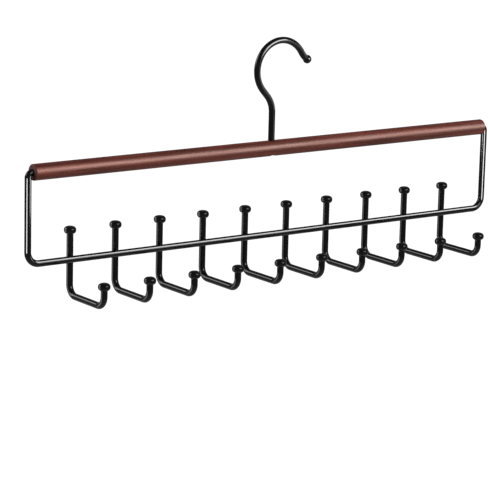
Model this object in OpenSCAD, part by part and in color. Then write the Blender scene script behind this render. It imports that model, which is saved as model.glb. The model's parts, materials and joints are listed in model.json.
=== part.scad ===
// Tie and belt hanger: a round wood bar on a swivelling closet hook, and a wire frame
// that carries ten bent hook wires.
// +X runs along the bar, -Y is the side the tie arms point to, and +Z is up.
// The origin is where the underside of the hook's arch rests on top of the closet rod.

/* [Wood bar] */
// Diameter of the wood bar
bar_d = 12; // [10:0.5:18]
// Length of the wood bar
bar_length = 415; // [380:1:460]
// Radius that rounds the rims of the bar's end faces
bar_rim_r = 0.8; // [0.3:0.1:1.5]

/* [Frame wire] */
// Diameter of the frame wire
frame_d = 5; // [4:0.25:5.5]
// Height from the lower bar's centre line up to the wood bar's
frame_drop = 66; // [56:1:80]
// Bend radius of the two lower corners, at the wire's centre line
frame_corner_r = 9; // [6:0.5:14]
// Bend radius of the two turned-in ends, at the wire's centre line
frame_end_r = 3.5; // [3:0.25:5]
// Depth to which each turned-in end goes into the wood bar
frame_stub = 14; // [8:1:24]

/* [Hook wires] */
// Number of hook wires
hook_count = 10; // [4:1:10]
// Distance from one hook wire to the next
hook_pitch = 38.5; // [32:0.5:41]
// Diameter of the hook wires
hook_d = 5; // [4:0.25:5.5]
// Height from the lower bar's centre line up to the end of each peg
peg_rise = 20.5; // [16:0.5:28]
// Height from the centre line of each arm up to the lower bar's
arm_drop = 27; // [22:0.5:36]
// Distance from each peg's centre line forward to the raised end's
arm_reach = 46; // [36:0.5:60]
// Height from the centre line of each arm up to the end of its raised end
arm_tip_rise = 15; // [12:0.5:20]
// Bend radius of the hook wires, at the wire's centre line
hook_bend_r = 8; // [6:0.5:10]
// Depth to which the weld sinks each hook wire into the lower bar
weld_sink = 0.4; // [0.2:0.1:0.8]
// Diameter of the weld that fills the wedge between each hook wire and the lower bar
weld_d = 3.6; // [2.6:0.1:4]

/* [Knobs] */
// Diameter of the knobs on the pegs and arms
knob_d = 9; // [7:0.25:10]
// Height of the knobs
knob_h = 6; // [5:0.25:6.75]
// Radius of the knobs' rounded edges
knob_edge_r = 2.3; // [1.5:0.1:2.5]

/* [Swivel hook] */
// Diameter of the swivel hook's wire
swivel_d = 5; // [4:0.25:5.5]
// Length of straight stem that shows above the wood bar
stem_show = 21; // [14:1:40]
// Bend radius where the stem leans away, at the wire's centre line
lean_bend_r = 19; // [12:1:26]
// Angle by which the wire leans away from the stem
lean_angle = 42; // [30:1:50]
// Length of the leaning straight
lean_run = 6; // [2:0.5:14]
// Radius of the arch over the closet rod, at the wire's centre line
arch_r = 22; // [18:0.5:26]
// Angle that the arch turns through
arch_angle = 190; // [170:1:200]
// Length of the straight between the arch and the flick that turns the hook's end outwards
neck_run = 0.6; // [0.4:0.2:4]
// Bend radius of the flick, at the wire's centre line
flick_r = 14; // [10:1:20]
// Angle that the flick turns through
flick_angle = 23; // [10:1:35]
// Length of the straight that ends in the middle of the tip ball
flick_run = 1.5; // [0.5:0.5:6]
// Diameter of the ball on the hook's end
tip_ball_d = 6.6; // [6:0.2:9]
// Amount by which bending thins the wire's radius
bend_thinning = 0.02; // [0.01:0.01:0.05]

/* [Stem retainer] */
// Diameter of the cap that keeps the stem in the wood bar
retainer_d = 6.2; // [6:0.1:8.5]
// Height of the cap
retainer_h = 2.2; // [1.6:0.1:2.4]
// Radius of the cap's domed foot
retainer_dome_r = 7; // [5:0.5:12]
// Depth to which the stem goes into the cap
retainer_socket = 1.2; // [0.6:0.1:1.4]
// Depth of the counterbore that holds the cap, up from the bar's lowest line
counterbore_depth = 2.8; // [2.6:0.1:3.2]

/* [Fits] */
// Radial clearance of the stem in the wood bar, for turning
stem_fit = 0.08; // [0.03:0.01:0.1]
// Radial clearance of the fixed wire ends in the knobs, the cap and the wood bar
socket_fit = 0.05; // [0.02:0.01:0.08]
// Gap between the lower bar and the saddle that each hook wire has there
weld_gap = 0.03; // [0.02:0.01:0.06]
// Gap between the cap and the wood above it
retainer_play = 0.1; // [0.05:0.05:0.2]
// Gap round the cap in its counterbore
counterbore_gap = 0.25; // [0.2:0.05:0.6]

/* [Hidden] */
$fn = 64;

function numbered(name, i) = str(name, i < 10 ? "_0" : "_", i);

wood_colour = [0.44, 0.22, 0.18];
metal_colour = [0.06, 0.06, 0.065];

bar_r = bar_d / 2;
frame_r = frame_d / 2;
hook_r = hook_d / 2;
swivel_r = swivel_d / 2;
retainer_r = retainer_d / 2;

// A bent wire is a list of steps in the XZ plane. [length, 0] runs straight, and
// [radius, angle] bends, to the right of its way if the angle is positive.
// A place on it is [x, z, heading], and a heading of 0 points up.
function step_end(place, step) =
    let (x = place[0], z = place[1], heading = place[2], size = step[0], turn = step[1])
    turn == 0
        ? [x + size * sin(heading), z + size * cos(heading), heading]
        : let (side = sign(turn) * size, turned = heading + turn)
          [x + side * (cos(heading) - cos(turned)), z + side * (sin(turned) - sin(heading)), turned];

// The place that a wire reaches after the first count of its steps
function place_after(start, steps, count) =
    count == 0 ? start : step_end(place_after(start, steps, count - 1), steps[count - 1]);

// The swivel hook runs from inside the cap to the middle of its tip ball
ceiling_drop = bar_r - counterbore_depth;
cap_top_drop = ceiling_drop + retainer_play;
stem_foot_drop = cap_top_drop + retainer_socket;
swivel_steps = [
    [stem_foot_drop + bar_r + stem_show, 0],
    [lean_bend_r, -lean_angle],
    [lean_run, 0],
    [arch_r, arch_angle],
    [neck_run, 0],
    [flick_r, -flick_angle],
    [flick_run, 0]
];
arch_step_count = 3;

// Angle by which a thinned bend runs on into the straights on both sides of it
run_on_angle = 1;

// The arch's middle, seen from where the stem crosses the wood bar's centre line
arch_start = place_after([0, -stem_foot_drop, 0], swivel_steps, arch_step_count);
arch_x = arch_start[0] + arch_r * cos(arch_start[2]);
arch_z = arch_start[1] - arch_r * sin(arch_start[2]);

// The stem, the wood bar and the lower bar, seen from the origin on the closet rod
stem_x = -arch_x;
bar_z = -(arch_z + arch_r - swivel_r);
lower_z = bar_z - frame_drop;
swivel_start = [stem_x, bar_z - stem_foot_drop, 0];

// The side wires stand clear of the wood bar's end faces by the radius of their bend
side_run = frame_drop - frame_end_r - frame_corner_r;
frame_steps = [
    [frame_stub, 0],
    [frame_end_r, -90],
    [side_run, 0],
    [frame_corner_r, -90],
    [bar_length + 2 * (frame_end_r - frame_corner_r), 0],
    [frame_corner_r, -90],
    [side_run, 0],
    [frame_end_r, -90],
    [frame_stub, 0]
];

// A hook wire runs from the middle of its peg knob to the middle of its arm knob
hook_steps = [
    [peg_rise + arm_drop - hook_bend_r, 0],
    [hook_bend_r, -90],
    [arm_reach - 2 * hook_bend_r, 0],
    [hook_bend_r, -90],
    [arm_tip_rise - hook_bend_r, 0]
];
peg_y = frame_r + hook_r - weld_sink;

// How far a cut runs past the surface that it opens
past = 1;

// One step of a bent wire, from the origin up or bending off to one side.
// A bend that is thinner than its straights runs on into them at both ends.
module wire_step(step, r, thinning) {
    run_on = thinning > 0 ? run_on_angle : 0;
    if (step[1] == 0)
        cylinder(h = step[0], r = r);
    else
        rotate([0, 0, step[1] > 0 ? 0 : 180]) translate([step[0], 0, 0]) rotate([90, 0, 180])
            rotate_extrude(angle = abs(step[1]) + 2 * run_on, start = -run_on)
                translate([step[0], 0]) circle(r = r - thinning);
}

// Puts its children where a step ends, turned to go on from there
module after_step(step) {
    side = sign(step[1]) * step[0];
    translate([side, 0, step[1] == 0 ? step[0] : 0]) rotate([0, step[1], 0]) translate([-side, 0, 0])
        children();
}

// A whole bent wire, from the origin up
module bent_wire(steps, r, thinning = 0) {
    if (len(steps) > 0) {
        wire_step(steps[0], r, thinning);
        after_step(steps[0]) bent_wire([for (i = [1 : 1 : len(steps) - 1]) steps[i]], r, thinning);
    }
}

// A rod along X with rounded rims, its middle at the origin
module rounded_rod(length, r, rim) {
    rotate([0, 90, 0]) rotate_extrude() {
        translate([0, -length / 2]) square([r - rim, length]);
        translate([0, rim - length / 2]) square([r, length - 2 * rim]);
        for (end = [-1, 1])
            translate([r - rim, end * (length / 2 - rim)]) circle(r = rim);
    }
}

// A flattened knob round the origin, with a socket in it for a wire end from below
module knob() {
    difference() {
        rotate_extrude() intersection() {
            union() {
                square([knob_d - 2 * knob_edge_r, knob_h], center = true);
                square([knob_d, knob_h - 2 * knob_edge_r], center = true);
                for (side = [-1, 1])
                    translate([knob_d / 2 - knob_edge_r, side * (knob_h / 2 - knob_edge_r)])
                        circle(r = knob_edge_r);
            }
            translate([0, -knob_h]) square(2 * knob_h);
        }
        translate([0, 0, -knob_h]) cylinder(h = knob_h, r = hook_r + socket_fit);
    }
}

// Puts its children where hook wire i crosses the lower bar
module at_hook(i) {
    translate([stem_x + (i - (hook_count + 1) / 2) * hook_pitch, 0, lower_z]) children();
}

module wood_bar() {
    color(wood_colour) translate([stem_x, 0, bar_z]) difference() {
        rounded_rod(bar_length, bar_r, bar_rim_r);
        for (end = [0, 180])
            rotate([0, 0, end]) translate([bar_length / 2 - frame_stub, 0, 0]) rotate([0, 90, 0])
                cylinder(h = frame_stub + past, r = frame_r + socket_fit);
        translate([0, 0, -bar_r - past]) cylinder(h = 2 * (bar_r + past), r = swivel_r + stem_fit);
        translate([0, 0, -bar_r - past])
            cylinder(h = counterbore_depth + past, r = retainer_r + counterbore_gap);
    }
}

module frame_wire() {
    color(metal_colour) translate([stem_x + frame_stub - bar_length / 2, 0, bar_z]) rotate([0, -90, 0])
        bent_wire(frame_steps, frame_r);
}

module swivel_hook() {
    color(metal_colour) translate([swivel_start[0], 0, swivel_start[1]])
        bent_wire(swivel_steps, swivel_r, bend_thinning);
}

module hook_tip_ball() {
    tip = place_after(swivel_start, swivel_steps, len(swivel_steps));
    color(metal_colour) translate([tip[0], 0, tip[1]]) rotate([0, tip[2], 0]) difference() {
        sphere(d = tip_ball_d);
        translate([0, 0, -tip_ball_d]) cylinder(h = tip_ball_d, r = swivel_r + socket_fit);
    }
}

module stem_retainer() {
    color(metal_colour) translate([stem_x, 0, bar_z - cap_top_drop]) difference() {
        intersection() {
            translate([0, 0, -retainer_h]) cylinder(h = retainer_h, r = retainer_r);
            translate([0, 0, retainer_dome_r - retainer_h]) sphere(r = retainer_dome_r);
        }
        translate([0, 0, -retainer_socket])
            cylinder(h = retainer_socket + past, r = swivel_r + socket_fit);
    }
}

// The weld runs from inside the lower bar to inside the hook wire, and the saddle trims it
module hook_wire(i) {
    color(metal_colour) at_hook(i) difference() {
        union() {
            translate([0, peg_y, peg_rise]) rotate([180, 0, 90]) bent_wire(hook_steps, hook_r);
            rotate([-90, 0, 0]) cylinder(h = peg_y, d = weld_d);
        }
        rotate([0, 90, 0]) cylinder(h = 2 * hook_d, r = frame_r + weld_gap, center = true);
    }
}

module peg_knob(i) {
    color(metal_colour) at_hook(i) translate([0, peg_y, peg_rise]) knob();
}

module arm_knob(i) {
    color(metal_colour) at_hook(i) translate([0, peg_y - arm_reach, arm_tip_rise - arm_drop]) knob();
}

wood_bar();
frame_wire();
swivel_hook();
hook_tip_ball();
stem_retainer();
for (i = [1 : hook_count]) {
    hook_wire(i);
    peg_knob(i);
    arm_knob(i);
}
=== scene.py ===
"""Tie and belt hanger: a stained wood bar under a swivelling closet hook, and an enamelled wire
frame that carries ten bent hook wires with knobs on both their ends.

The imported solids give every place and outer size. The wires and knobs are made again here as
smooth surfaces inside those solids, and every surface gets its finish.
"""
import json
import math

import bpy
import numpy as np
from mathutils import Matrix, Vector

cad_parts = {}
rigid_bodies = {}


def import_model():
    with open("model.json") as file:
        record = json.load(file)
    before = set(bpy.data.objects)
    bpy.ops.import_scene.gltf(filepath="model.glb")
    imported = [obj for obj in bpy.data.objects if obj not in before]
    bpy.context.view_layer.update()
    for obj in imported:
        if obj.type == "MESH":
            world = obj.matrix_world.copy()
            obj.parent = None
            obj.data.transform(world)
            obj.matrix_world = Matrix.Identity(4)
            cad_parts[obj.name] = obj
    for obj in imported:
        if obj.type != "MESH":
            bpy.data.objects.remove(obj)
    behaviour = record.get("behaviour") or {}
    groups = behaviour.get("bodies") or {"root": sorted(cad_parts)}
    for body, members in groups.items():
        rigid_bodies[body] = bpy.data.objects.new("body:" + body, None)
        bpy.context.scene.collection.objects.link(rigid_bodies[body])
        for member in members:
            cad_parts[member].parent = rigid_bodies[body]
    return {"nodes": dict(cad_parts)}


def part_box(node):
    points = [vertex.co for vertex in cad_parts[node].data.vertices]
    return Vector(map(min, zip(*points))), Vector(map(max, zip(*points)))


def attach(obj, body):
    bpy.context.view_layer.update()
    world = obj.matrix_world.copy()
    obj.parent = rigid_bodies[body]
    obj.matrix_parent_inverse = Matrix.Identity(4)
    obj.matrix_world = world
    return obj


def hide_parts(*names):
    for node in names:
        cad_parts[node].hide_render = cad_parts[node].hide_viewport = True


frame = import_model()

bl_info = {
    "name": "Tie hanger",
    "version": (1, 0, 0),
    "blender": (4, 5, 0),
    "location": "View3D > Sidebar > Tie hanger",
    "description": "Builds a tie and belt hanger and its studio",
    "category": "Object",
}

MM = 0.001
MICRON = 0.001 * MM
QUARTER_TURN = math.pi / 2
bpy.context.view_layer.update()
HOOK_COUNT = len([name for name in frame["nodes"] if name.startswith("hook_wire_")])


def numbered(name, i):
    return f"{name}_{i:02d}"


def middle(node):
    """The middle of a node's box."""
    low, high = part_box(node)
    return [(a + b) / 2 for a, b in zip(low, high)]


def extent(node, axis):
    """The size of a node's box along an axis."""
    low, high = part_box(node)
    return high[axis] - low[axis]


# ---------------------------------------------------------------- properties

def length_property(name, description, default):
    return bpy.props.FloatProperty(
        name=name, description=description, default=default, min=0.0, precision=5,
        subtype="DISTANCE", unit="LENGTH")


def angle_property(name, description, degrees):
    return bpy.props.FloatProperty(
        name=name, description=description, default=math.radians(degrees), precision=5,
        subtype="ANGLE", unit="ROTATION")


def colour_property(name, description, default):
    return bpy.props.FloatVectorProperty(
        name=name, description=description, default=default, min=0.0, max=1.0, size=3,
        subtype="COLOR")


def factor_property(name, description, default):
    return bpy.props.FloatProperty(
        name=name, description=description, default=default, min=0.0, max=1.0, subtype="FACTOR")


class HangerSizes(bpy.types.PropertyGroup):
    wire_diameter: length_property(
        "Wire diameter", "Diameter of the frame wire and the hook wires", extent("frame_wire", 1))
    corner_radius: length_property(
        "Corner radius", "Centre-line bend radius of the frame's lower corners", 9 * MM)
    end_radius: length_property(
        "End radius", "Centre-line bend radius of the frame's turned-in ends", 3.5 * MM)
    end_stub: length_property(
        "End stub", "Depth to which the frame's ends go into the wood bar", 14 * MM)
    hook_bend_radius: length_property(
        "Hook wire bend radius", "Centre-line bend radius of the hook wires", 8 * MM)
    weld_reach: length_property(
        "Weld reach", "Radius of the weld bead between a hook wire and the lower bar", 1.9 * MM)
    knob_height: length_property(
        "Knob height", "Height of the knobs from foot to crown", 6 * MM)
    swivel_diameter: length_property(
        "Swivel hook diameter", "Diameter of the swivel hook's wire", extent("swivel_hook", 1))
    stem_show: length_property(
        "Stem", "Straight stem that shows above the wood bar", 21 * MM)
    lean_radius: length_property(
        "Lean radius", "Centre-line bend radius where the stem leans away", 19 * MM)
    lean_angle: angle_property(
        "Lean angle", "Turn to the left where the stem leans away", 42)
    lean_run: length_property(
        "Lean run", "Length of the leaning straight", 6 * MM)
    arch_radius: length_property(
        "Arch radius", "Centre-line radius of the arch over the closet rod", 22 * MM)
    arch_angle: angle_property(
        "Arch angle", "Turn to the right round the arch", 190)
    neck_run: length_property(
        "Neck run", "Straight between the arch and the flick", 0.6 * MM)
    flick_radius: length_property(
        "Flick radius", "Centre-line bend radius of the flick", 14 * MM)
    flick_angle: angle_property(
        "Flick angle", "Turn to the left in the flick", 23)
    flick_run: length_property(
        "Flick run", "Straight that ends in the middle of the tip ball", 1.5 * MM)


class HangerFinishes(bpy.types.PropertyGroup):
    enamel_colour: colour_property(
        "Enamel", "Colour of the gloss enamel on the wires", (0.0025, 0.0025, 0.0028))
    enamel_roughness: factor_property(
        "Enamel roughness", "Roughness of the enamel's gloss skin", 0.1)
    enamel_gloss: factor_property(
        "Enamel gloss", "Specular level of the enamel", 0.22)
    wood_light: colour_property(
        "Wood light", "Lighter colour in the stained wood", (0.150, 0.033, 0.022))
    wood_dark: colour_property(
        "Wood dark", "Darker colour in the stained wood", (0.052, 0.010, 0.007))
    pore_colour: colour_property(
        "Wood pores", "Colour of the pores and the end grain's rings", (0.035, 0.012, 0.010))
    varnish_gloss: factor_property(
        "Varnish gloss", "Specular level of the varnish", 0.32)
    varnish_tint: colour_property(
        "Varnish tint", "Colour that the varnish gives to its reflections", (1.0, 0.62, 0.52))


class HangerStudio(bpy.types.PropertyGroup):
    azimuth: angle_property(
        "Azimuth", "Angle round the hanger from which the camera looks", -36)
    elevation: angle_property(
        "Elevation", "Angle from which the camera looks down", 12.31)
    roll: angle_property(
        "Roll", "Turn of the camera round its own axis", 1.40)
    offset: bpy.props.FloatVectorProperty(
        name="Offset", description="Camera's place from the bar's middle: right, up and back",
        default=(-20.26 * MM, -74.44 * MM, 1843.93 * MM), subtype="TRANSLATION", unit="LENGTH",
        precision=5)
    lens: bpy.props.FloatProperty(
        name="Lens", description="Focal length in millimetres", default=181.66352,
        min=1.0, unit="CAMERA")
    sensor: bpy.props.FloatProperty(
        name="Sensor", description="Width of the camera's sensor in millimetres", default=36.0,
        min=1.0, unit="CAMERA")
    floor_drop: length_property(
        "Floor drop", "How far the floor lies below the origin", 1.1)
    floor_reach: length_property(
        "Floor reach", "How far the floor reaches to each side", 60.0)
    floor_colour: colour_property(
        "Floor", "Colour of the floor", (0.6, 0.6, 0.6))
    floor_glow: factor_property(
        "Floor glow", "Light that the floor adds where it is seen as the background", 0.95)
    ambient: factor_property(
        "Ambient", "Strength of the world's plain light", 0.2)
    gloss_share: factor_property(
        "Background in gloss", "Share of the background that reflections show", 0.2)


# ---------------------------------------------------------------- surfaces worked out with numpy

# Points close to both ends of a straight keep its shading straight.
STRAIGHT_STOPS = np.array([0.01, 0.5, 0.99, 1.0])
BEND_STEP = math.radians(4)


def bent_centre_line(start, heading, steps, plane):
    """Centre line of a bent wire in one plane.

    Steps are (length, 0) for a straight and (radius, angle) for a bend. On a straight a point is
    place + t * length * (sin h, cos h). On a bend it is
    place + side * (cos h - cos(h + t a), sin(h + t a) - sin h), where side is the bend's radius
    with the sign of its angle a. plane is the two axes that the plane's coordinates lie on.
    Returns the points and the unit normals in the plane.
    """
    place = np.array(start, float)
    places, headings = [place[None]], [np.array([heading])]
    for size, turn in steps:
        if turn == 0:
            turned = np.full(len(STRAIGHT_STOPS), heading)
            way = np.array([math.sin(heading), math.cos(heading)])
            step = STRAIGHT_STOPS[:, None] * size * way
        else:
            t = np.linspace(0, 1, max(3, math.ceil(abs(turn) / BEND_STEP)) + 1)[1:]
            side = math.copysign(size, turn)
            turned = heading + t * turn
            step = side * np.stack([math.cos(heading) - np.cos(turned),
                                    np.sin(turned) - math.sin(heading)], 1)
        places.append(place + step)
        headings.append(turned)
        place, heading = place + step[-1], turned[-1]
    flat, turned = np.concatenate(places), np.concatenate(headings)
    points, normals = np.zeros((len(flat), 3)), np.zeros((len(flat), 3))
    points[:, plane] = flat
    normals[:, plane] = np.stack([np.cos(turned), -np.sin(turned)], 1)
    return points, normals


def round_angles(count):
    """Angles at equal steps round a full turn."""
    return np.linspace(0, 2 * math.pi, count, endpoint=False)


def swept_tube(points, normals, binormal, r, sides=32):
    """A tube along a centre line: point + r * (cos a * normal + sin a * binormal).

    The rings at both ends are closed by a fan to their middle.
    """
    a = round_angles(sides)[None, :, None]
    ring = np.cos(a) * normals[:, None, :] + np.sin(a) * np.array(binormal, float)
    return closed_grid(points[:, None, :] + r * ring, points[0], points[-1])


def turned_shape(profile, centre, axis=(0, 0, 1), across=(1, 0, 0), sides=48):
    """A lathe shape: centre + height * axis + radius * (cos a * across + sin a * side).

    profile is rows of radius and height from the bottom to the top.
    """
    axis, across = np.array(axis, float), np.array(across, float)
    a = round_angles(sides)[:, None]
    ring = np.cos(a) * across + np.sin(a) * np.cross(axis, across)
    radius, height = np.array(profile, float).T[:, :, None, None]
    grid = np.array(centre) + height * axis + radius * ring
    return closed_grid(grid, grid[0].mean(0), grid[-1].mean(0))


def closed_grid(grid, first, last):
    """Vertices and faces of a grid of rings, closed by a fan at each end."""
    rings, sides = grid.shape[:2]
    vertices = np.concatenate([grid.reshape(-1, 3), [first], [last]])
    i, j = np.meshgrid(np.arange(rings - 1), np.arange(sides), indexing="ij")
    after = (j + 1) % sides
    quads = np.stack([i * sides + j, i * sides + after,
                      (i + 1) * sides + after, (i + 1) * sides + j], -1).reshape(-1, 4)
    k = np.arange(sides)
    top = (rings - 1) * sides
    fan_first = np.stack([np.full(sides, rings * sides), (k + 1) % sides, k], -1)
    fan_last = np.stack([np.full(sides, rings * sides + 1), top + k, top + (k + 1) % sides], -1)
    return vertices, [quads, fan_first, fan_last]


def facing_out(part):
    """Turns a closed surface's faces round if its signed volume is negative."""
    vertices, faces = part
    volume = 0.0
    for block in faces:
        for k in range(1, block.shape[1] - 1):
            a, b, c = vertices[block[:, 0]], vertices[block[:, k]], vertices[block[:, k + 1]]
            volume += np.einsum("ij,ij->i", a, np.cross(b, c)).sum()
    return (vertices, [block[:, ::-1] for block in faces]) if volume < 0 else part


def make_piece(name, parts, body, material, node):
    """One smooth-shaded object in a node's place. Each part is a surface's vertices and faces."""
    vertices, faces, count = [], [], 0
    for part_vertices, part_faces in parts:
        vertices.append(part_vertices)
        faces += [face for block in part_faces for face in (block + count).tolist()]
        count += len(part_vertices)
    mesh = bpy.data.meshes.new(name)
    mesh.from_pydata(np.concatenate(vertices).tolist(), [], faces)
    mesh.polygons.foreach_set("use_smooth", np.ones(len(mesh.polygons), bool))
    mesh.materials.append(material)
    mesh.update()
    piece = bpy.data.objects.new(name, mesh)
    bpy.context.scene.collection.objects.link(piece)
    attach(piece, body)
    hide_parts(node)


def dress(node, material):
    """Gives a node's own mesh its finish."""
    materials = frame["nodes"][node].data.materials
    materials.clear()
    materials.append(material)


# ---------------------------------------------------------------- finishes

class NodeSheet:
    """Short calls to lay out the nodes of a material or a world."""

    def __init__(self, owner):
        owner.use_nodes = True
        self.owner = owner
        self.nodes, self.links = owner.node_tree.nodes, owner.node_tree.links
        self.nodes.clear()

    def add(self, kind, inputs=None, **settings):
        made = self.nodes.new(kind)
        for key, value in settings.items():
            setattr(made, key, value)
        for key, value in (inputs or {}).items():
            if isinstance(value, bpy.types.NodeSocket):
                self.links.new(value, made.inputs[key])
            else:
                made.inputs[key].default_value = value
        return made

    def noise(self, vector, scale, detail=2.0, roughness=0.5):
        return self.add("ShaderNodeTexNoise", {
            "Vector": vector, "Scale": scale, "Detail": detail, "Roughness": roughness}
        ).outputs["Fac"]

    def ramp(self, factor, *stops):
        made = self.add("ShaderNodeValToRGB", {"Fac": factor})
        elements = made.color_ramp.elements
        elements[0].position, elements[1].position = stops[0][0], stops[-1][0]
        elements[0].color, elements[1].color = stops[0][1], stops[-1][1]
        for position, colour in stops[1:-1]:
            elements.new(position).color = colour
        return made.outputs["Color"]

    def math(self, operation, first, second=0.0):
        return self.add("ShaderNodeMath", {0: first, 1: second}, operation=operation).outputs[0]

    def mix(self, factor, first, second):
        return self.add("ShaderNodeMix", {0: factor, 6: first, 7: second},
                        data_type="RGBA").outputs[2]

    def bump(self, strength, distance, height):
        return self.add("ShaderNodeBump", {
            "Strength": strength, "Distance": distance, "Height": height}).outputs[0]

    def placed(self, location=(0, 0, 0), scale=(1, 1, 1)):
        """Object coordinates times scale, plus location."""
        place = self.add("ShaderNodeTexCoord").outputs["Object"]
        return self.add("ShaderNodeMapping", {
            "Vector": place, "Location": location, "Scale": scale}).outputs[0]

    def finish(self, shader, output="ShaderNodeOutputMaterial"):
        self.add(output, {"Surface": shader.outputs[0]})
        return self.owner


def grey(value):
    return (value, value, value, 1.0)


def shade(colour, share=1.0):
    """A colour times a share, with a full alpha."""
    return (*[share * c for c in colour], 1.0)


def gloss_enamel(name, finishes, peel):
    """Black baked enamel: a dark body, a clear gloss skin and a fine orange peel."""
    if name in bpy.data.materials:
        return bpy.data.materials[name]
    sheet = NodeSheet(bpy.data.materials.new(name))
    place = sheet.placed(scale=(1000, 1000, 1000))
    cloud = sheet.noise(place, 0.12, 3.0)
    colour, rough = finishes.enamel_colour, finishes.enamel_roughness
    body = sheet.ramp(cloud, (0.3, shade(colour, 0.8)), (0.7, shade(colour, 1.3)))
    roughness = sheet.ramp(cloud, (0.3, grey(rough * 0.85)), (0.7, grey(rough * 1.2)))
    ripple = sheet.noise(place, 0.25, 0.0)
    return sheet.finish(sheet.add("ShaderNodeBsdfPrincipled", {
        "Base Color": body, "Roughness": roughness,
        "Normal": sheet.bump(peel, 4 * MICRON, ripple),
        "IOR": 1.5, "Specular IOR Level": finishes.enamel_gloss}))


def stained_wood(name, finishes):
    """Stained hardwood under satin varnish.

    Noise stretched along the bar gives the figure and the grain, a second one the pores, and
    rings round a pith beside the bar's axis show on its two end faces.
    """
    if name in bpy.data.materials:
        return bpy.data.materials[name]
    sheet = NodeSheet(bpy.data.materials.new(name))
    light, dark, pore = finishes.wood_light, finishes.wood_dark, finishes.pore_colour
    between = [(a + b) / 2 for a, b in zip(dark, light)]
    figure = sheet.noise(sheet.placed(scale=(9, 300, 300)), 0.8, 3.0, 0.6)
    grain = sheet.noise(sheet.placed(scale=(28, 1000, 1000)), 0.7, 4.0, 0.65)
    pores = sheet.noise(sheet.placed(scale=(90, 2600, 2600)), 0.6, 2.0, 0.5)
    both = sheet.math("ADD", sheet.math("MULTIPLY", figure, 0.55),
                      sheet.math("MULTIPLY", grain, 0.45))
    body = sheet.ramp(both, (0.40, shade(dark)), (0.50, shade(between)), (0.60, shade(light)))
    pore_mask = sheet.ramp(pores, (0.60, grey(0)), (0.72, grey(1)))
    streaked = sheet.mix(sheet.math("MULTIPLY", pore_mask, 0.45), body, shade(pore))

    # The end faces are the outermost fifth of a millimetre, and the pith is off the bar's axis
    centre = middle("wood_bar")
    face_at = extent("wood_bar", 0) / 2 - 0.2 * MM
    pith_y, pith_z = -11, -8
    x = sheet.add("ShaderNodeSeparateXYZ", {0: sheet.placed()}).outputs[0]
    from_middle = sheet.math("ABSOLUTE", sheet.math("SUBTRACT", x, centre[0]))
    on_end = sheet.math("GREATER_THAN", from_middle, face_at)
    ring_place = sheet.placed(location=(0, -pith_y, -centre[2] / MM - pith_z),
                              scale=(0, 1000, 1000))
    rings = sheet.add("ShaderNodeTexWave", {
        "Vector": ring_place, "Scale": 0.28, "Distortion": 1.5, "Detail": 2.0},
        wave_type="RINGS", rings_direction="X").outputs["Fac"]
    end_grain = sheet.ramp(rings, (0.2, shade(pore, 1.8)), (0.8, shade(pore, 4.2)))

    roughness = sheet.math("ADD", sheet.ramp(grain, (0.35, grey(0.36)), (0.65, grey(0.50))),
                           sheet.math("MULTIPLY", on_end, 0.2))
    height = sheet.math("SUBTRACT", grain, sheet.math("MULTIPLY", pore_mask, 0.8))
    return sheet.finish(sheet.add("ShaderNodeBsdfPrincipled", {
        "Base Color": sheet.mix(on_end, streaked, end_grain), "Roughness": roughness,
        "Normal": sheet.bump(0.35, 60 * MICRON, height),
        "IOR": 1.48, "Specular IOR Level": finishes.varnish_gloss,
        "Specular Tint": shade(finishes.varnish_tint)}))


# ---------------------------------------------------------------- operators

class MakeWoodBar(bpy.types.Operator):
    """Gives the turned wood bar its stained and varnished finish"""
    bl_idname = "hanger.wood_bar"
    bl_label = "Wood bar"

    def execute(self, context):
        dress("wood_bar", stained_wood("stained wood", context.scene.hanger_finishes))
        return {"FINISHED"}


class MakeFrameWire(bpy.types.Operator):
    """Bends the frame wire: in at both ends of the wood bar, down, round and along below"""
    bl_idname = "hanger.frame_wire"
    bl_label = "Frame wire"

    def execute(self, context):
        sizes = context.scene.hanger_sizes
        low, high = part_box("frame_wire")
        r = sizes.wire_diameter / 2
        corner, end, stub = sizes.corner_radius, sizes.end_radius, sizes.end_stub
        left_x, right_x = low[0] + r, high[0] - r
        bar_z, lower_z = high[2] - r, low[2] + r
        side_run = bar_z - lower_z - end - corner
        lower_run = right_x - left_x - 2 * corner
        steps = [(stub, 0), (end, -QUARTER_TURN), (side_run, 0), (corner, -QUARTER_TURN),
                 (lower_run, 0),
                 (corner, -QUARTER_TURN), (side_run, 0), (end, -QUARTER_TURN), (stub, 0)]
        points, normals = bent_centre_line(
            (left_x + end + stub, bar_z), -QUARTER_TURN, steps, [0, 2])
        tube = facing_out(swept_tube(points, normals, (0, 1, 0), r))
        enamel = gloss_enamel("frame enamel", context.scene.hanger_finishes, 0.25)
        make_piece("bent_frame", [tube], "hanger", enamel, "frame_wire")
        return {"FINISHED"}


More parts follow.
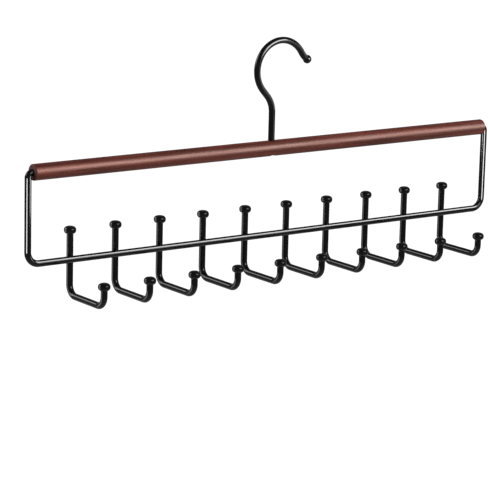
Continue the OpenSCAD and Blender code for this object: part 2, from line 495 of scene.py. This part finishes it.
class MakeSwivelHook(bpy.types.Operator):
    """Bends the swivel hook from its stem over the closet rod, with the ball on its end"""
    bl_idname = "hanger.swivel_hook"
    bl_label = "Swivel hook"

    def execute(self, context):
        sizes = context.scene.hanger_sizes
        enamel = gloss_enamel("hook enamel", context.scene.hanger_finishes, 0.2)
        r = sizes.swivel_diameter / 2
        foot_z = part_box("swivel_hook")[0][2]
        bar_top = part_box("wood_bar")[1][2]
        stem_x = middle("stem_retainer")[0]
        steps = [(bar_top - foot_z + sizes.stem_show, 0),
                 (sizes.lean_radius, -sizes.lean_angle), (sizes.lean_run, 0),
                 (sizes.arch_radius, sizes.arch_angle), (sizes.neck_run, 0),
                 (sizes.flick_radius, -sizes.flick_angle), (sizes.flick_run, 0)]
        points, normals = bent_centre_line((stem_x, foot_z), 0, steps, [0, 2])
        tube = facing_out(swept_tube(points, normals, (0, 1, 0), r, 40))
        make_piece("closet_hook", [tube], "hook", enamel, "swivel_hook")

        heading = sum(turn for _, turn in steps)
        axis = (math.sin(heading), 0, math.cos(heading))
        a = np.linspace(-QUARTER_TURN, QUARTER_TURN, 33)[1:-1]
        profile = np.stack([np.cos(a), np.sin(a)], 1) * extent("hook_tip_ball", 1) / 2
        ball = facing_out(turned_shape(profile, points[-1], axis, (0, 1, 0)))
        make_piece("hook_ball", [ball], "hook", enamel, "hook_tip_ball")
        dress("stem_retainer", enamel)
        return {"FINISHED"}


def weld_bead(crossing, r, reach, waist=0.28, sunk=0.15 * MM):
    """The bead in the wedge round the point where a hook wire is welded to the lower bar.

    At angle a round the contact, the bar's surface lies r - sqrt(r^2 - (p sin a)^2) behind the
    contact plane and the hook wire's r - sqrt(r^2 - (p cos a)^2) in front of it, at a distance p.
    The skin runs from one surface to the other, sunk a little into both, and half an arc draws
    it in by the share waist of its reach.
    """
    a = round_angles(48)[None, :]
    t = np.linspace(-1, 1, 9)[:, None]
    p = reach * (1 - waist * np.cos(t * QUARTER_TURN))
    back = -(r - np.sqrt(r * r - (p * np.sin(a)) ** 2)) - sunk
    front = (r - np.sqrt(r * r - (p * np.cos(a)) ** 2)) + sunk
    y = back + (front - back) * (t + 1) / 2
    grid = np.stack([crossing[0] + p * np.cos(a), crossing[1] + y,
                     crossing[2] + p * np.sin(a)], -1)
    return closed_grid(grid, grid[0].mean(0), grid[-1].mean(0))


class MakeHookWires(bpy.types.Operator):
    """Bends the hook wires, each a peg, an arm and a raised end, and welds them to the frame"""
    bl_idname = "hanger.hook_wires"
    bl_label = "Hook wires"

    def execute(self, context):
        sizes = context.scene.hanger_sizes
        enamel = gloss_enamel("frame enamel", context.scene.hanger_finishes, 0.25)
        bend, bar_r = sizes.hook_bend_radius, sizes.wire_diameter / 2
        lower_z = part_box("frame_wire")[0][2] + bar_r
        for i in range(1, HOOK_COUNT + 1):
            node = numbered("hook_wire", i)
            low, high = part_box(node)
            r, x = (high[0] - low[0]) / 2, (low[0] + high[0]) / 2
            peg_y, tip_y, arm_z = high[1] - r, low[1] + r, low[2] + r
            tip_z = middle(numbered("arm_knob", i))[2]
            steps = [(high[2] - arm_z - bend, 0), (bend, QUARTER_TURN),
                     (peg_y - tip_y - 2 * bend, 0), (bend, QUARTER_TURN),
                     (tip_z - arm_z - bend, 0)]
            points, normals = bent_centre_line((peg_y, high[2]), math.pi, steps, [1, 2])
            points[:, 0] = x
            tube = facing_out(swept_tube(points, normals, (1, 0, 0), r))
            bead = facing_out(weld_bead((x, (bar_r + peg_y - r) / 2, lower_z), r,
                                        sizes.weld_reach))
            make_piece(numbered("tie_hook", i), [tube, bead], "hanger", enamel,
                       node)
        return {"FINISHED"}


def knob_profile(d, h, foot=0.5 * MM, crown=0.0001 * MM, squareness=2.5):
    """Rows of radius and height, from the foot's radius to the crown's.

    The outline is (2 r / d)^n + (2 z / h)^n = 1 with the squareness as n, walked round by an
    angle a as r = d / 2 * cos(a)^(2 / n) and z = h / 2 * sin(a)^(2 / n).
    """
    a = np.linspace(-QUARTER_TURN, QUARTER_TURN, 41)[1:-1]
    radius = d / 2 * np.cos(a) ** (2 / squareness)
    height = h / 2 * np.sign(a) * np.abs(np.sin(a)) ** (2 / squareness)
    return np.concatenate([[[foot, -h / 2]], np.stack([radius, height], 1), [[crown, h / 2]]])


class MakeKnobs(bpy.types.Operator):
    """Turns the knobs on the pegs and on the arms' raised ends"""
    bl_idname = "hanger.knobs"
    bl_label = "Knobs"

    def execute(self, context):
        enamel = gloss_enamel("knob enamel", context.scene.hanger_finishes, 0.15)
        height = context.scene.hanger_sizes.knob_height
        for kind, name in (("peg_knob", "peg_cap"), ("arm_knob", "arm_cap")):
            for i in range(1, HOOK_COUNT + 1):
                node = numbered(kind, i)
                x, y, _ = middle(node)
                centre = (x, y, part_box(node)[1][2] - height / 2)
                knob = facing_out(turned_shape(knob_profile(extent(node, 0), height), centre))
                make_piece(numbered(name, i), [knob], "hanger", enamel, node)
        return {"FINISHED"}


def lamp_facing(name, away, distance, size, power, along=(1, 0, 0), shown_in=(),
                target=(0.0, 0.0, -0.1), spread=180):
    """An area lamp that faces a target, at first the hanger's middle, from a direction.

    Its width runs as near to along as it can, and spread is the angle in degrees to which a
    grid on its front narrows its light. A lamp that is shown in given pieces is a card: it is
    seen in their gloss and gives no other light.
    """
    away = np.array(away, float) / np.linalg.norm(away)
    width_axis = np.array(along, float) - np.dot(along, away) * away
    width_axis /= np.linalg.norm(width_axis)
    height_axis = np.cross(away, width_axis)
    light = bpy.data.lights.new(name, "AREA")
    light.shape = "RECTANGLE"
    light.size, light.size_y = size
    light.energy = power
    light.spread = math.radians(spread)
    lamp = bpy.data.objects.new(name, light)
    bpy.context.scene.collection.objects.link(lamp)
    turn = Matrix(np.stack([width_axis, height_axis, away], 1).tolist()).to_4x4()
    lamp.matrix_world = Matrix.Translation(np.array(target) + away * distance) @ turn
    lamp.visible_camera = False
    if shown_in:
        lamp.visible_diffuse = False
        receivers = bpy.data.collections.new(name)
        for piece in shown_in:
            receivers.objects.link(piece)
        lamp.light_linking.receiver_collection = receivers


def background_seen(sheet, in_gloss):
    """1 for camera and transmission rays, which see the white background in full, and in_gloss
    for glossy rays, which see that share of it."""
    path = sheet.add("ShaderNodeLightPath").outputs
    seen = sheet.math("MAXIMUM", path["Is Camera Ray"], path["Is Transmission Ray"])
    gloss = sheet.math("MULTIPLY", path["Is Glossy Ray"], in_gloss)
    return sheet.math("MAXIMUM", seen, gloss)


class MakeStage(bpy.types.Operator):
    """Sets up the camera at the photographed angle, the pale floor and the soft light"""
    bl_idname = "hanger.stage"
    bl_label = "Stage"

    def execute(self, context):
        scene = context.scene
        scene.view_settings.view_transform = "Standard"
        self.place_camera(scene)
        self.lay_floor(scene)
        self.light_world(scene)
        self.hang_lights()
        return {"FINISHED"}

    def place_camera(self, scene):
        studio = scene.hanger_studio
        azimuth, elevation, roll = studio.azimuth, studio.elevation, studio.roll
        back = np.array([math.sin(azimuth) * math.cos(elevation),
                         -math.cos(azimuth) * math.cos(elevation), math.sin(elevation)])
        level = np.array([math.cos(azimuth), math.sin(azimuth), 0])
        upright = np.cross(back, level)
        right = math.cos(roll) * level + math.sin(roll) * upright
        up = math.cos(roll) * upright - math.sin(roll) * level
        axes = np.stack([right, up, back], 1)
        bar_middle = np.array([middle("stem_retainer")[0], 0, middle("wood_bar")[2]])
        place = bar_middle + axes @ np.array(studio.offset)
        data = bpy.data.cameras.new("camera")
        data.sensor_fit = "HORIZONTAL"
        data.sensor_width = studio.sensor
        data.lens = studio.lens
        data.clip_start, data.clip_end = 0.05, 200
        camera = bpy.data.objects.new("camera", data)
        scene.collection.objects.link(camera)
        camera.matrix_world = Matrix.Translation(place) @ Matrix(axes.tolist()).to_4x4()
        scene.camera = camera

    def lay_floor(self, scene):
        studio = scene.hanger_studio
        drop, reach = -studio.floor_drop, studio.floor_reach
        mesh = bpy.data.meshes.new("floor")
        mesh.from_pydata([(-reach, -reach, drop), (reach, -reach, drop),
                          (reach, reach, drop), (-reach, reach, drop)], [], [(0, 1, 2, 3)])
        floor = bpy.data.objects.new("floor", mesh)
        scene.collection.objects.link(floor)
        sheet = NodeSheet(bpy.data.materials.new("pale floor"))
        matt = sheet.add("ShaderNodeBsdfDiffuse", {"Color": shade(studio.floor_colour)})
        strength = sheet.math("MULTIPLY", background_seen(sheet, studio.gloss_share),
                              studio.floor_glow)
        glow = sheet.add("ShaderNodeEmission", {"Color": grey(1.0), "Strength": strength})
        both = sheet.add("ShaderNodeAddShader", {0: matt.outputs[0], 1: glow.outputs[0]})
        mesh.materials.append(sheet.finish(both))

    def light_world(self, scene):
        """A plain light all round, and the backdrop's white round the horizon.

        In gloss the backdrop is a wall that fades out between two heights.
        """
        studio = scene.hanger_studio
        sheet = NodeSheet(bpy.data.worlds.new("studio"))
        way = sheet.add("ShaderNodeTexCoord").outputs["Generated"]
        up = sheet.add("ShaderNodeSeparateXYZ", {0: way}).outputs[2]
        wall = sheet.add("ShaderNodeMapRange", {
            "Value": up, "From Min": 0.12, "From Max": 0.35,
            "To Min": studio.gloss_share, "To Max": 0.0}).outputs[0]
        white = sheet.math("MULTIPLY", background_seen(sheet, wall), 1 - studio.ambient)
        sky = sheet.add("ShaderNodeBackground", {
            "Color": grey(1.0), "Strength": sheet.math("ADD", white, studio.ambient)})
        scene.world = sheet.finish(sky, "ShaderNodeOutputWorld")

    def hang_lights(self):
        """Two soft lamps light everything. Each card shows as a streak on one kind of piece.

        The cards for the frame's sides stand near them, and the narrow spread of two of them
        keeps them off the lower bar.
        """
        pieces = bpy.data.objects
        wood, wire = [pieces["wood_bar"]], [pieces["bent_frame"]]
        hook = [pieces["closet_hook"], pieces["hook_ball"]]
        hung = [piece for piece in pieces
                if piece.name.startswith(("tie_hook", "peg_cap", "arm_cap"))]
        low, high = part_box("frame_wire")
        r, (_, _, side_z) = extent("frame_wire", 1) / 2, middle("frame_wire")
        left, right = (low[0] + r, 0, side_z), (high[0] - r, 0, side_z)
        upper_left = (left[0], 0, side_z + 18 * MM)
        along_y = (0, 1, 0)
        lamp_facing("key lamp", (0.28, -0.85, 0.43), 1.7, (1.3, 0.9), 28)
        lamp_facing("back lamp", (-0.65, 0.6, 0.4), 1.8, (1.2, 0.9), 22)
        lamp_facing("bar card", (0.574, -0.752, 0.325), 1.6, (1.0, 0.95), 62, shown_in=wood)
        lamp_facing("low wire card", (0.574, -0.49, 0.655), 1.6, (1.0, 0.75), 75, shown_in=wire)
        lamp_facing("left wire card", (-0.895, -0.446, -0.206), 0.307, (0.13, 0.085), 1.95,
                    along=(0.446, -0.895, 0), shown_in=wire, target=left)
        lamp_facing("upper left card", (0.766, -0.643, -0.199), 0.306, (0.113, 0.035), 0.012,
                    along=(0.643, 0.766, 0), shown_in=wire, target=upper_left, spread=30)
        lamp_facing("right wire card", (-0.117, -0.993, -0.179), 0.356, (0.18, 0.085), 0.3,
                    shown_in=wire, target=right, spread=60)
        lamp_facing("hook card", (0.42, -0.86, 0.24), 1.6, (0.8, 0.55), 56, shown_in=hook)
        lamp_facing("hook side card", (0.602, -0.770, -0.213), 1.5, (0.6, 1.0), 4.5,
                    along=along_y, shown_in=hook)
        lamp_facing("hook edge card", (0.97, -0.15, 0.13), 1.6, (1.2, 0.7), 6,
                    along=along_y, shown_in=hook)
        lamp_facing("peg card", (-0.846, 0.49, -0.213), 1.5, (0.9, 1.0), 12,
                    along=along_y, shown_in=hung)


class HangerPanel(bpy.types.Panel):
    """Lists the hanger's sizes, finishes, studio and pieces"""
    bl_idname = "VIEW3D_PT_tie_hanger"
    bl_label = "Tie hanger"
    bl_space_type = "VIEW_3D"
    bl_region_type = "UI"
    bl_category = "Tie hanger"

    def draw(self, context):
        scene = context.scene
        for group in (scene.hanger_sizes, scene.hanger_finishes, scene.hanger_studio):
            box = self.layout.box()
            for name in group.__annotations__:
                box.prop(group, name)
        for operator in OPERATORS:
            self.layout.operator(operator.bl_idname)


OPERATORS = (MakeWoodBar, MakeFrameWire, MakeSwivelHook, MakeHookWires, MakeKnobs, MakeStage)
CLASSES = (HangerSizes, HangerFinishes, HangerStudio, *OPERATORS, HangerPanel)


def register():
    for each in CLASSES:
        bpy.utils.register_class(each)
    bpy.types.Scene.hanger_sizes = bpy.props.PointerProperty(type=HangerSizes)
    bpy.types.Scene.hanger_finishes = bpy.props.PointerProperty(type=HangerFinishes)
    bpy.types.Scene.hanger_studio = bpy.props.PointerProperty(type=HangerStudio)


def unregister():
    del bpy.types.Scene.hanger_studio
    del bpy.types.Scene.hanger_finishes
    del bpy.types.Scene.hanger_sizes
    for each in reversed(CLASSES):
        bpy.utils.unregister_class(each)


def main():
    register()
    bpy.ops.hanger.wood_bar()
    bpy.ops.hanger.frame_wire()
    bpy.ops.hanger.swivel_hook()
    bpy.ops.hanger.hook_wires()
    bpy.ops.hanger.knobs()
    bpy.ops.hanger.stage()


if __name__ == "__main__":
    main()
